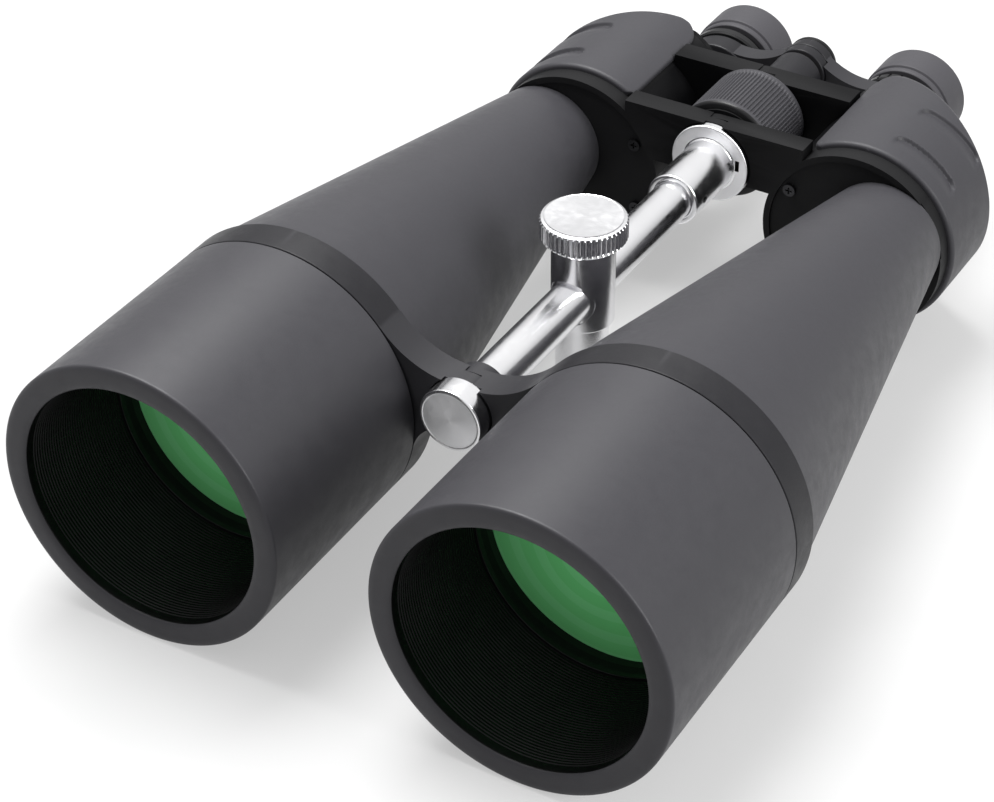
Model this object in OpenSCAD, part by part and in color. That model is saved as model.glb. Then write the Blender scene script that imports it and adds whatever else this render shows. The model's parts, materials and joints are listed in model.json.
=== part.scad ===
// Giant astronomy binoculars: two 80 mm objective barrels joined by a front bridge and a
// porro prism bridge, with a centre rod that carries a sliding tripod post.
// Millimetres. +Y runs from the objectives to the eyepieces, +Z is up, +X is the right hand side.
// The origin is the mouth of the tripod thread, in the foot of the post.

/* [Barrels] */
// Distance between the two barrel axes
barrel_spacing = 128; // [126:1:132]
// Radius of the objective hood at its front rim
hood_r = 48.5; // [48:0.5:50]
// Length of the objective hood
hood_len = 77.1; // [74:0.1:77.2]
// Radius of the mouth inside the hood
mouth_r = 40.6; // [40:0.1:41]
// Width of the front bridge's band round each barrel
band_w = 11.3; // [10:0.1:11.4]
// Radius of the barrel cone just behind the band
cone_front_r = 47; // [46:0.5:48]
// Radius of the barrel cone where it meets the prism housing
cone_rear_r = 20.6; // [19:0.2:22]
// Wall thickness of the barrel cone
cone_wall = 2.4; // [1.8:0.1:3]

/* [Objectives] */
// Radius of the objective lenses
lens_r = 41; // [40.5:0.1:41]
// Radius of curvature of the front glass surface
front_curve = 190; // [170:5:230]
// Radius of curvature of the cemented surface
inner_curve = 150; // [140:5:200]

/* [Prism housings] */
// Radius of the round prism housing
housing_r = 32.4; // [32:0.1:33]
// Thickness of the rubber armour on the housing
armour_t = 1.9; // [1.5:0.1:2.2]
// Sideways distance from the hinge to the housing centre
housing_x = 52.8; // [52:0.1:54]
// Fall of the housing's rear shoulder for each millimetre outwards
shoulder_slope = 0.4; // [0.3:0.02:0.45]

/* [Eyepieces] */
// Distance between the two eyepiece axes
eye_spacing = 67.4; // [66:0.2:68]
// Outer radius of the rubber eyecup
eyecup_r = 17.1; // [16:0.1:17.5]
// Radius of the ocular tube that slides in the rear cover
ocular_r = 12; // [11.5:0.1:12.2]

/* [Hinge, rod and post] */
// Height of the hinge axis above the barrel axes
hinge_z = 10.5; // [10:0.1:11]
// Radius of the tripod rod
rod_r = 7; // [6.5:0.1:7]
// Distance from the front rims to the tripod post
post_y = 153.5; // [140:0.5:165]
// Radius of the upper body of the tripod post
post_r = 10.3; // [10.2:0.1:11]
// Radius of the lower leg of the tripod post
leg_r = 8.6; // [8:0.1:9]
// Radius of the clamp knob
knob_r = 14.1; // [12:0.1:15]
// Radius of the 1/4 inch tripod thread
thread_r = 3.2; // [3.1:0.05:3.3]
// Radius of the focus wheel over its ribs
wheel_r = 18; // [17:0.1:18.2]

/* [Hidden] */
$fn = 96;

// Fits
running = 0.05;
snug = 0.02;
gap = 0.3;

// Stations along the instrument, measured from the front rims
barrel_front_y = 46.3;
lens_edge_y = 54;
lens_mid_y = 59;
lens_rear_y = 68;
band_y = 77.4;
cone_y = band_y + band_w + 0.2;
knuckle_y = 79.6;
knuckle_mid_y = 85.6;
knuckle_end_y = 91.6;
cap_nut_y = 71.4;
housing_y = 243.2;
plate_y = 244;
plate_t = 3;
socket_y = 214.7;
flange_y = 241.6;
front_lug_y = 243.2;
front_knuckle_y = 245;
front_lap_y = 248.1;
front_lug_end_y = 251.2;
rear_lug_y = 280;
rear_lap_y = 284.5;
rear_lug_end_y = 289;
shoulder_y = 302;
armour_y = 249.6;
wheel_y = 252;
wheel_end_y = 279.3;
sleeve_end_y = 311;
arm_y = 313;
arm_lap_y = 317.5;
arm_end_y = 322;
collar_y = 322.4;
eyecup_y = 328.4;
eye_end_y = 346;

// Places across the instrument
barrel_x = barrel_spacing / 2;
eye_x = eye_spacing / 2;
eye_z = -3.5;
housing_z = -5.3;
shoulder_x = 36;
armour_edge_x = 33.4;
band_r = 48;
band_bore_r = 45;
knuckle_r = 9;
lug_r = 14.2;
lug_low_z = 4.5;
sleeve_r = 9.2;
stub_r = 4;
spindle_r = 4.2;
nose_r = 6;

// Porro prisms: each one shifts the light by one leg of the sideways step
step = [eye_x - barrel_x, eye_z];
rear_step = [(step[0] - step[1]) / 2, (step[0] + step[1]) / 2];
front_step = [(step[0] + step[1]) / 2, (step[1] - step[0]) / 2];
prism_half = norm(rear_step);
prism_w = 16;
prism_trim_r = 20.6;
prism_flat = 3.8;
shelf_y = 267.2;
shelf_t = 2.4;
mid_light = [barrel_x + rear_step[0], rear_step[1]];
rear_centre = [barrel_x, 0] + rear_step / 2;
front_centre = mid_light + front_step / 2;

// Housing walls and screws, as angles and a radius round the housing centre
shell_t = 2.2;
cover_t = 1.8;
spigot_r = 18.4;
boss_r = 14.8;
boss_y = 296;
plate_screw_angles = [150, 205, 255];
plate_screw_r = 27;
cover_screw_angles = [75, 285, 330];
cover_screw_r = 28;

// Rod, wheel and post
rod_rear_y = 226;
thread_stub_r = 4.5;
cap_r = 10.7;
grip_r = 15.4;
bush_r = 8;
pad_r = 3.42;
shank_hole_r = 3.5;
pad_z = hinge_z + bush_r + 0.05;
pad_top_z = pad_z + 3;
post_low_z = 0;
post_top_z = 28.8;
knob_z = 29.2;
knob_top_z = 38;
foot_z = -hood_r;

module place() {
    translate([0, -post_y, hood_r]) children();
}

// Right hand side for s = 1, its mirror image for s = -1
module side(s) {
    place() mirror([s < 0 ? 1 : 0, 0, 0]) children();
}

// Stands a shape drawn in X and Z on its edge, from y0 to y1
module slab(y0, y1) {
    translate([0, y1, 0]) rotate([90, 0, 0]) linear_extrude(y1 - y0) children();
}

// Round bar along Y
module bar(x, z, y0, y1, r) {
    translate([x, y0, z]) rotate([-90, 0, 0]) cylinder(h = y1 - y0, r = r);
}

// Turns a profile of [radius, y] points about an axis along Y
module turned(x, z, points) {
    translate([x, 0, z]) rotate([-90, 0, 0]) rotate_extrude() polygon(points);
}

function arc(cx, cy, r, a0, a1, n) =
    [for (i = [0:n]) [cx + r * cos(a0 + (a1 - a0) * i / n), cy + r * sin(a0 + (a1 - a0) * i / n)]];

// Height of a spherical surface above its rim plane at radius r
function bow(curve, rim, r) = sqrt(curve * curve - r * r) - sqrt(curve * curve - rim * rim);

// Where two circles cross: centres p and q, radii a and b, on the side given by s
function crossing(p, a, q, b, s) =
    let (d = norm(q - p), u = (q - p) / d, t = (a * a - b * b + d * d) / (2 * d), h = sqrt(a * a - t * t))
    p + t * u + s * h * [-u[1], u[0]];

module disc(p, r) {
    translate(p) circle(r);
}

// ---- Barrels and objectives ----

module hood(s) {
    rim = 1.2;
    lip = 0.4;
    color("dimgray") side(s) turned(barrel_x, 0, concat(
        arc(hood_r - rim, rim, rim, 0, -90, 8),
        arc(mouth_r + lip, lip, lip, -90, -180, 4),
        [[mouth_r, barrel_front_y - gap], [band_bore_r + running, barrel_front_y - gap],
         [band_bore_r + running, hood_len], [band_r, hood_len]]));
}

module objective_retainer(s) {
    thread_bore = 42;
    clear_r = 39.6;
    color("black") side(s) difference() {
        turned(barrel_x, 0, [[clear_r + 0.7, barrel_front_y + 0.2], [thread_bore - running, barrel_front_y + 0.2],
            [thread_bore - running, lens_edge_y - gap], [clear_r, lens_edge_y - gap], [clear_r, lens_edge_y - 4]]);
        for (a = [0, 180]) translate([barrel_x, barrel_front_y, 0]) rotate([0, a + 45, 0])
            translate([clear_r, -1, -1]) cube([4, 3, 2]);
    }
}

module objective_crown(s) {
    n = 12;
    color("seagreen", 0.6) side(s) turned(barrel_x, 0, concat(
        [for (i = [0:n]) let (r = lens_r * i / n) [r, lens_edge_y - bow(front_curve, lens_r, r)]],
        [for (i = [n:-1:0]) let (r = lens_r * i / n) [r, lens_mid_y + bow(inner_curve, lens_r, r)]]));
}

module objective_flint(s) {
    n = 12;
    cement = 0.05;
    color("darkseagreen", 0.6) side(s) turned(barrel_x, 0, concat(
        [for (i = [0:n]) let (r = lens_r * i / n) [r, lens_mid_y + cement + bow(inner_curve, lens_r, r)]],
        [[lens_r, lens_rear_y], [0, lens_rear_y]]));
}

module barrel(s) {
    seat_r = lens_r + 0.1;
    stop_r = 38.8;
    color("dimgray") side(s) turned(barrel_x, 0, [
        [42, barrel_front_y], [band_bore_r, barrel_front_y], [band_bore_r, cone_y], [cone_front_r, cone_y],
        [cone_rear_r, plate_y], [spigot_r, plate_y], [spigot_r, plate_y + plate_t],
        [spigot_r - 1.6, plate_y + plate_t], [cone_rear_r - cone_wall - 1.4, plate_y - 2],
        [cone_front_r - cone_wall - 2, cone_y + 3], [stop_r, cone_y], [stop_r, lens_rear_y + 0.1],
        [seat_r, lens_rear_y + 0.1], [seat_r, lens_edge_y], [42, lens_edge_y]]);
}

// ---- Front bridge ----

// Outline of the web that joins the band to the knuckle, with a hollow fillet above and below
module bridge_web() {
    top_fillet = 32;
    low_fillet = 14;
    bite = 0.2;
    hinge = [0, hinge_z];
    centre = [barrel_x, 0];
    top = crossing(hinge, knuckle_r + top_fillet, centre, band_r + top_fillet, 1);
    low = crossing(hinge, knuckle_r + low_fillet, centre, band_r + low_fillet, -1);
    difference() {
        polygon([hinge, top, centre, low]);
        disc(top, top_fillet + bite);
        disc(low, low_fillet + bite);
    }
}

module front_bridge(s) {
    own = s > 0 ? [knuckle_mid_y + 0.1, knuckle_end_y] : [knuckle_y, knuckle_mid_y - 0.1];
    other = s > 0 ? [band_y - 1, knuckle_mid_y + 0.1] : [knuckle_mid_y - 0.1, knuckle_end_y + 1];
    bore = rod_r + (s > 0 ? running : snug);
    color("black") side(s) difference() {
        union() {
            bar(barrel_x, 0, band_y, band_y + band_w, band_r);
            difference() {
                slab(band_y, band_y + band_w) bridge_web();
                bar(0, hinge_z, other[0], other[1], knuckle_r + 0.4);
                bar(0, hinge_z, band_y - 1, knuckle_y, cap_r + 0.5);
            }
            bar(0, hinge_z, own[0], own[1], knuckle_r);
        }
        bar(barrel_x, 0, band_y - 1, cone_y, band_bore_r + snug);
        bar(0, hinge_z, knuckle_y - 1, knuckle_end_y + 1, bore);
        translate([barrel_x, band_y + band_w / 2, -band_r - 1]) cylinder(h = 5, r = 1.7, $fn = 32);
    }
}

module bridge_screw(s) {
    color("silver") side(s) translate([barrel_x, band_y + band_w / 2, -band_r + 0.3]) difference() {
        cylinder(h = band_r - band_bore_r - 0.4, r = 1.6, $fn = 32);
        translate([0, 0, -1]) cylinder(h = 2.2, r = 0.9, $fn = 6);
    }
}

// ---- Prism housings ----

// Plan of the housing from above: square across the eyepiece, then a sloping shoulder
module plan(y0, inset) {
    out_x = 95;
    rear = shoulder_y - inset;
    translate([0, 0, -60]) linear_extrude(120) polygon([
        [0, y0], [out_x, y0], [out_x, rear - shoulder_slope * (out_x - shoulder_x)],
        [shoulder_x, rear], [0, rear]]);
}

// One hinge lug: an upright web from the housing to a knuckle on the hinge axis
module lug(y0, y1, k0, k1, c0, c1, bore) {
    difference() {
        union() {
            difference() {
                slab(y0, y1) translate([0, lug_low_z]) square([armour_edge_x, hinge_z + lug_r - lug_low_z]);
                bar(0, hinge_z, c0, c1, lug_r + 0.4);
            }
            bar(0, hinge_z, k0, k1, lug_r);
        }
        bar(0, hinge_z, y0 - 3, y1 + 3, bore);
        translate([-60, y0 - 5, hinge_z - 60]) cube([60 - lug_r - 1, y1 - y0 + 10, 120]);
    }
}

module prism_housing(s) {
    right = s > 0;
    play = right ? running : snug;
    color("#232326") side(s) difference() {
        union() {
            intersection() {
                bar(housing_x, housing_z, housing_y, 310, housing_r);
                plan(housing_y, cover_t + 0.1);
            }
            lug(front_lug_y, front_lug_end_y,
                right ? front_lap_y + 0.1 : front_knuckle_y, right ? front_lug_end_y : front_lap_y - 0.1,
                right ? front_lug_y - 1 : front_lap_y - 0.1, right ? front_lap_y + 0.1 : front_lug_end_y + 1,
                stub_r + 1 + play);
            lug(rear_lug_y, rear_lug_end_y,
                right ? rear_lap_y + 0.1 : rear_lug_y, right ? rear_lug_end_y : rear_lap_y - 0.1,
                right ? rear_lug_y - 1 : rear_lap_y - 0.1, right ? rear_lap_y + 0.1 : rear_lug_end_y + 1,
                nose_r + play);
        }
        bar(housing_x, housing_z, housing_y - 1, 320, housing_r - shell_t);
        bar(barrel_x, 0, housing_y - 1, plate_y + 0.1, cone_rear_r + 0.4);
        bar(barrel_x, 0, plate_y, plate_y + plate_t + 0.1, spigot_r + 0.1);
        bar(eye_x, eye_z, boss_y - 7, boss_y + 1, ocular_r + gap);
        bar(eye_x, eye_z, boss_y - 0.1, 320, boss_r + 0.1);
        bar(0, hinge_z, flange_y - 1, front_knuckle_y - 0.1, lug_r + 0.4);
    }
}

module front_plate(s) {
    color("black") side(s) difference() {
        bar(housing_x, housing_z, plate_y, plate_y + plate_t, housing_r - shell_t - 0.1);
        bar(barrel_x, 0, plate_y - 1, plate_y + plate_t + 1, spigot_r + 0.1);
        for (a = plate_screw_angles)
            bar(housing_x + plate_screw_r * cos(a), housing_z + plate_screw_r * sin(a), plate_y - 1,
                plate_y + plate_t + 1, 1.3, $fn = 32);
    }
}

// Pan head screw along Y with a cross recess, head towards the front for dir = 1
module small_screw(x, z, y, dir, length) {
    translate([x, y, z]) rotate([-90 * dir, 0, 0]) difference() {
        union() {
            translate([0, 0, -1.3]) cylinder(h = 1.25, r = 2.2, $fn = 32);
            translate([0, 0, -0.1]) cylinder(h = length, r = 1.2, $fn = 32);
        }
        translate([-1.2, -0.3, -2]) cube([2.4, 0.6, 1.4]);
        translate([-0.3, -1.2, -2]) cube([0.6, 2.4, 1.4]);
    }
}

module front_plate_screws(s) {
    color("silver") side(s) for (a = plate_screw_angles)
        small_screw(housing_x + plate_screw_r * cos(a), housing_z + plate_screw_r * sin(a), plate_y, 1, plate_t);
}

module housing_armour(s) {
    color("dimgray") side(s) difference() {
        intersection() {
            bar(housing_x, housing_z, armour_y, 310, housing_r + armour_t);
            plan(armour_y, cover_t);
        }
        bar(housing_x, housing_z, armour_y - 1, 320, housing_r + 0.05);
        translate([-1, armour_y - 1, -60]) cube([armour_edge_x + 1, 80, 120]);
    }
}

module prism_shelf(s) {
    color("gray") side(s) difference() {
        bar(housing_x, housing_z, shelf_y, shelf_y + shelf_t, housing_r - shell_t - 0.1);
        for (p = [[barrel_x, 0], mid_light, [eye_x, eye_z]])
            bar(p[0], p[1], shelf_y - 1, shelf_y + shelf_t + 1, 8.2);
    }
}

// Right angle prism with trimmed ends and a flat on its roof edge, long side on y = 0, roof towards +Y
module prism(centre, along) {
    translate([centre[0], 0, centre[1]]) rotate([0, -atan2(along[1], along[0]), 0]) intersection() {
        translate([0, 0, -prism_w / 2]) linear_extrude(prism_w) polygon([
            [-prism_half, 0], [prism_half, 0], [prism_flat, prism_half - prism_flat],
            [-prism_flat, prism_half - prism_flat]]);
        bar(0, 0, -1, prism_half + 1, prism_trim_r);
    }
}

// Space inside the housing that the prisms keep to
module prism_room() {
    bar(housing_x, housing_z, plate_y, shoulder_y, housing_r - shell_t - 0.2);
}

module rear_prism(s) {
    color("lightcyan", 0.6) side(s) intersection() {
        translate([0, shelf_y + shelf_t + 0.1, 0]) prism(rear_centre, rear_step);
        prism_room();
    }
}

module front_prism(s) {
    color("lightcyan", 0.6) side(s) intersection() {
        translate([0, shelf_y - 0.1, 0]) mirror([0, 1, 0]) prism(front_centre, front_step);
        prism_room();
    }
}

// Sprung strap over a prism's roof, with two legs down to the shelf
module clip(centre, along) {
    leg = prism_half - prism_flat;
    half_w = prism_w / 2 + 0.2;
    t = 0.6;
    translate([centre[0], 0, centre[1]]) rotate([0, -atan2(along[1], along[0]), 0]) difference() {
        translate([-2.5, 0, -half_w - t]) cube([5, leg + 0.1 + t, 2 * (half_w + t)]);
        translate([-3, -1, -half_w]) cube([6, leg + 1.1, 2 * half_w]);
    }
}

module prism_clips(s) {
    color("goldenrod") side(s) {
        translate([0, shelf_y + shelf_t, 0]) clip(rear_centre, rear_step);
        translate([0, shelf_y, 0]) mirror([0, 1, 0]) clip(front_centre, front_step);
    }
}

// Outer face of the rear cover's shoulder at a distance x from the hinge
function rear_at(x) = shoulder_y - shoulder_slope * max(0, x - shoulder_x);

// Seat of a screw head on the sloping shoulder
function seat_y(a) = rear_at(housing_x + cover_screw_r * cos(a) + 2.4) + 1;

// One bar round each of the rear cover's screws, from y0 to y1 measured from the seat
module at_cover_screws(y0, y1, r) {
    for (a = cover_screw_angles)
        bar(housing_x + cover_screw_r * cos(a), housing_z + cover_screw_r * sin(a), seat_y(a) + y0, seat_y(a) + y1,
            r, $fn = 32);
}

module rear_cover(s) {
    boss_end_y = 311;
    color("#232326") side(s) difference() {
        union() {
            intersection() {
                bar(housing_x, housing_z, 260, 310, housing_r);
                difference() {
                    plan(260, 0);
                    plan(250, cover_t);
                }
            }
            intersection() {
                bar(housing_x, housing_z, 260, 310, housing_r);
                at_cover_screws(-1.6, 0, 3);
            }
            bar(eye_x, eye_z, boss_y, boss_end_y, boss_r);
        }
        bar(eye_x, eye_z, boss_y - 8, boss_end_y + 1, ocular_r + running);
        at_cover_screws(-8, 5, 1.3);
        at_cover_screws(0, 5, 2.5);
    }
}

module rear_cover_screws(s) {
    color("silver") side(s) for (a = cover_screw_angles)
        small_screw(housing_x + cover_screw_r * cos(a), housing_z + cover_screw_r * sin(a), seat_y(a), -1, cover_t + 2);
}

// ---- Eyepieces ----

module eyepiece_arm(s) {
    right = s > 0;
    hinge = [0, hinge_z];
    eye = [eye_x, eye_z];
    u = (eye - hinge) / norm(eye - hinge);
    across = [-u[1], u[0]];
    ring_r = 15.6;
    color("#232326") side(s) difference() {
        union() {
            difference() {
                slab(arm_y + 0.4, arm_end_y - 0.4) polygon([hinge + 6 * across, eye + 10 * across,
                    eye - 10 * across, hinge - 6 * across]);
                bar(0, hinge_z, right ? arm_y - 1 : arm_lap_y - 0.1, right ? arm_lap_y + 0.1 : arm_end_y + 1,
                    sleeve_r + 0.4);
            }
            bar(eye_x, eye_z, arm_y + 0.4, arm_end_y - 0.4, ring_r);
            bar(0, hinge_z, right ? arm_lap_y + 0.1 : arm_y, right ? arm_end_y : arm_lap_y - 0.1, sleeve_r);
        }
        bar(0, hinge_z, arm_y - 1, arm_end_y + 1, spindle_r + (right ? running : snug));
        bar(eye_x, eye_z, arm_y - 1, arm_end_y + 1, ocular_r + (right ? running : snug));
    }
}

module ocular_tube(s) {
    head_r = 14.4;
    bore = 10.6;
    color("#1c1c1e") side(s) difference() {
        union() {
            bar(eye_x, eye_z, 293, eyecup_y, ocular_r);
            bar(eye_x, eye_z, eyecup_y, eye_end_y - 8, head_r);
        }
        bar(eye_x, eye_z, 292, 327, bore);
        bar(eye_x, eye_z, 320, 336, 8.4);
        bar(eye_x, eye_z, 330, eye_end_y, 9.6);
    }
}

// Double convex lens along Y
module eyepiece_lens(y, r, edge, curve) {
    n = 6;
    turned(eye_x, eye_z, concat(
        [for (i = [0:n]) let (q = r * i / n) [q, y - edge / 2 - bow(curve, r, q)]],
        [for (i = [n:-1:0]) let (q = r * i / n) [q, y + edge / 2 + bow(curve, r, q)]]));
}

module field_lens(s) {
    color("lightcyan", 0.6) side(s) eyepiece_lens(300, 10.55, 2.4, 34);
}

module eye_lens(s) {
    color("plum", 0.6) side(s) eyepiece_lens(334, 9.55, 2, 28);
}

module eyecup(s) {
    bead = 2.2;
    bowl_r = 12.5;
    color("#2b2b2d") side(s) turned(eye_x, eye_z, concat(
        [[14.45, eyecup_y + 0.1], [eyecup_r - 1.2, eyecup_y + 0.1], [eyecup_r, eyecup_y + 2]],
        arc(eyecup_r - bead, eye_end_y - bead, bead, 0, 90, 6),
        arc(bowl_r + bead, eye_end_y - bead, bead, 90, 180, 6),
        [[bowl_r, eye_end_y - 7.9], [14.45, eye_end_y - 7.9]]));
}

module collar() {
    turned(eye_x, eye_z, [[ocular_r + running, collar_y], [15.8, collar_y], [16.4, collar_y + 0.6],
        [16.4, collar_y + 3], [15.8, collar_y + 3.6], [ocular_r + running, collar_y + 3.6]]);
}

module left_eyepiece_collar() {
    color("#2b2b2d") side(-1) collar();
}

module right_dioptre_ring() {
    color("#2b2b2d") side(1) difference() {
        collar();
        for (a = [0:15:345]) translate([eye_x, collar_y + 1.8, eye_z]) rotate([0, a, 0])
            translate([16.1, -1.2, -0.4]) cube([1, 2.4, 0.8]);
    }
}

// ---- Rod, hinge and focusing ----

module tripod_rod() {
    color("silver") place() union() {
        bar(0, hinge_z, knuckle_y, rod_rear_y, rod_r);
        bar(0, hinge_z, cap_nut_y + 3, knuckle_y, thread_stub_r);
    }
}

module rod_cap_nut() {
    edge = 0.6;
    color("silver") place() turned(0, hinge_z, [[0, cap_nut_y], [cap_r - edge, cap_nut_y],
        [cap_r, cap_nut_y + edge], [cap_r, knuckle_y - edge], [cap_r - edge, knuckle_y - 0.1],
        [thread_stub_r, knuckle_y - 0.1], [thread_stub_r, cap_nut_y + 3], [0, cap_nut_y + 3]]);
}

module rod_socket() {
    color("silver") place() difference() {
        turned(0, hinge_z, [[0, rod_rear_y], [0, 257.4], [stub_r, 257.4], [stub_r, front_lug_end_y + 0.2],
            [stub_r + 1, front_lug_end_y + 0.2], [stub_r + 1, 244.8], [lug_r, 244.8], [lug_r, flange_y + 0.6],
            [lug_r - 0.6, flange_y], [sleeve_r, flange_y], [sleeve_r, socket_y + 0.9], [sleeve_r - 0.9, socket_y],
            [rod_r + snug, socket_y], [rod_r + snug, rod_rear_y]]);
        translate([0, 221, hinge_z]) rotate([0, 90, 0]) cylinder(h = 12, r = 1.5, $fn = 32);
        translate([10.6, flange_y - 1, hinge_z + 2]) cube([1.4, 2, 4]);
    }
}

module rod_set_screw() {
    color("dimgray") place() translate([rod_r + 0.05, 221, hinge_z]) rotate([0, 90, 0]) difference() {
        cylinder(h = 1.9, r = 1.45, $fn = 32);
        translate([0, 0, 0.9]) cylinder(h = 2, r = 0.8, $fn = 6);
    }
}

module hinge_sleeve() {
    color("gray") place() turned(0, hinge_z, [[spindle_r + running, 273], [nose_r, 273], [nose_r, 289.2],
        [sleeve_r, 289.2], [sleeve_r, sleeve_end_y - 0.8], [sleeve_r - 0.8, sleeve_end_y],
        [spindle_r + running, sleeve_end_y]]);
}

module focus_wheel() {
    recess = 2;
    color("#1c1c1e") place() turned(0, hinge_z, [[stub_r + running, wheel_y + recess],
        [grip_r - 2.2, wheel_y + recess], [grip_r - 2.2, wheel_y], [grip_r, wheel_y], [grip_r, wheel_end_y],
        [nose_r + running, wheel_end_y], [nose_r + running, 272.8], [spindle_r + gap, 272.8],
        [spindle_r + gap, 258], [stub_r + running, 258]]);
}

module focus_grip() {
    ribs = 30;
    bore = grip_r + snug;
    color("#2b2b2d") place() difference() {
        turned(0, hinge_z, [[bore, wheel_y + 0.2], [wheel_r - 0.8, wheel_y + 0.2], [wheel_r, wheel_y + 1],
            [wheel_r, wheel_end_y - 1.2], [wheel_r - 0.8, wheel_end_y - 0.2], [bore, wheel_end_y - 0.2]]);
        for (i = [0:ribs - 1]) translate([0, wheel_y + 4, hinge_z]) rotate([0, i * 360 / ribs, 0])
            translate([wheel_r - 0.9, 0, -0.8]) cube([2, 19.4, 1.6]);
    }
}

module focus_spindle() {
    color("goldenrod") place() turned(0, hinge_z, [[0, 259.6], [spindle_r, 259.6], [spindle_r, arm_end_y + 0.1],
        [1.6, arm_end_y + 0.1], [1.6, 316], [0, 316]]);
}

module spindle_cap() {
    dome = 3.4;
    color("black") place() turned(0, hinge_z, concat([[0, 317], [1.6, 317], [1.6, arm_end_y + 0.2],
        [sleeve_r, arm_end_y + 0.2], [sleeve_r, arm_end_y + 1]],
        [for (i = [1:6]) [sleeve_r * cos(i * 15), arm_end_y + 1 + dome * sin(i * 15)]]));
}

// ---- Tripod post ----

module rod_bush() {
    half_len = 9;
    color("silver") place() difference() {
        bar(0, hinge_z, post_y - half_len, post_y + half_len, bush_r);
        bar(0, hinge_z, post_y - half_len - 1, post_y + half_len + 1, rod_r + running);
        translate([-1, post_y - half_len - 1, 0]) cube([2, 2 * half_len + 2, hinge_z]);
    }
}

module tripod_post() {
    chamfer = 0.6;
    color("silver") place() difference() {
        translate([0, post_y, 0]) rotate_extrude() polygon([[0, foot_z], [leg_r - chamfer, foot_z],
            [leg_r, foot_z + chamfer], [leg_r, post_low_z], [post_r - chamfer, post_low_z],
            [post_r, post_low_z + chamfer], [post_r, post_top_z - chamfer], [post_r - chamfer, post_top_z],
            [0, post_top_z]]);
        bar(0, hinge_z, post_y - 20, post_y + 20, bush_r + running);
        translate([0, post_y, hinge_z]) cylinder(h = 30, r = shank_hole_r);
        translate([0, post_y, foot_z - 1]) cylinder(h = 15, r = thread_r);
    }
}

module clamp_pad() {
    color("goldenrod") place() translate([0, post_y, pad_z]) cylinder(h = pad_top_z - pad_z, r = pad_r);
}

module thumb_screw() {
    teeth = 48;
    color("silver") place() translate([0, post_y, 0]) union() {
        translate([0, 0, pad_top_z + 0.1]) cylinder(h = knob_z - pad_top_z, r = pad_r - 0.1);
        rotate_extrude() polygon([[0, knob_z], [knob_r - 2, knob_z], [knob_r - 0.9, knob_z + 1.2],
            [knob_r - 0.7, knob_z + 1.2], [knob_r - 0.7, knob_top_z - 0.4], [knob_r - 1.1, knob_top_z],
            [0, knob_top_z]]);
        translate([0, 0, knob_z + 1.3]) linear_extrude(knob_top_z - knob_z - 1.8) polygon(
            [for (i = [0:2 * teeth - 1]) let (r = knob_r - (i % 2 == 0 ? 0 : 0.8), a = i * 180 / teeth)
                [r * cos(a), r * sin(a)]]);
    }
}

hood(-1);  // left_hood
hood(1);  // right_hood
objective_retainer(-1);  // left_objective_retainer
objective_retainer(1);  // right_objective_retainer
objective_crown(-1);  // left_objective_crown
objective_crown(1);  // right_objective_crown
objective_flint(-1);  // left_objective_flint
objective_flint(1);  // right_objective_flint
barrel(-1);  // left_barrel
barrel(1);  // right_barrel
front_bridge(-1);  // left_front_bridge
front_bridge(1);  // right_front_bridge
bridge_screw(-1);  // left_bridge_screw
bridge_screw(1);  // right_bridge_screw
prism_housing(-1);  // left_prism_housing
prism_housing(1);  // right_prism_housing
front_plate(-1);  // left_front_plate
front_plate(1);  // right_front_plate
front_plate_screws(-1);  // left_front_plate_screws
front_plate_screws(1);  // right_front_plate_screws
housing_armour(-1);  // left_housing_armour
housing_armour(1);  // right_housing_armour
prism_shelf(-1);  // left_prism_shelf
prism_shelf(1);  // right_prism_shelf
front_prism(-1);  // left_front_prism
front_prism(1);  // right_front_prism
rear_prism(-1);  // left_rear_prism
rear_prism(1);  // right_rear_prism
prism_clips(-1);  // left_prism_clips
prism_clips(1);  // right_prism_clips
rear_cover(-1);  // left_rear_cover
rear_cover(1);  // right_rear_cover
rear_cover_screws(-1);  // left_rear_cover_screws
rear_cover_screws(1);  // right_rear_cover_screws
eyepiece_arm(-1);  // left_eyepiece_arm
eyepiece_arm(1);  // right_eyepiece_arm
ocular_tube(-1);  // left_ocular_tube
ocular_tube(1);  // right_ocular_tube
field_lens(-1);  // left_field_lens
field_lens(1);  // right_field_lens
eye_lens(-1);  // left_eye_lens
eye_lens(1);  // right_eye_lens
eyecup(-1);  // left_eyecup
eyecup(1);  // right_eyecup
left_eyepiece_collar();
right_dioptre_ring();
tripod_rod();
rod_socket();
rod_set_screw();
rod_cap_nut();
hinge_sleeve();
focus_wheel();
focus_grip();
focus_spindle();
spindle_cap();
rod_bush();
tripod_post();
clamp_pad();
thumb_screw();
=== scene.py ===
"""Looks of the giant astronomy binoculars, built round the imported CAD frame.

Stations are millimetres behind the front rims (y), sideways from the hinge (x) and above the barrel
axes (z). at() turns them into places in the frame, in metres.
"""
import json
import math

import bmesh
import bpy
import numpy as np
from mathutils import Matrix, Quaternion, Vector


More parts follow.
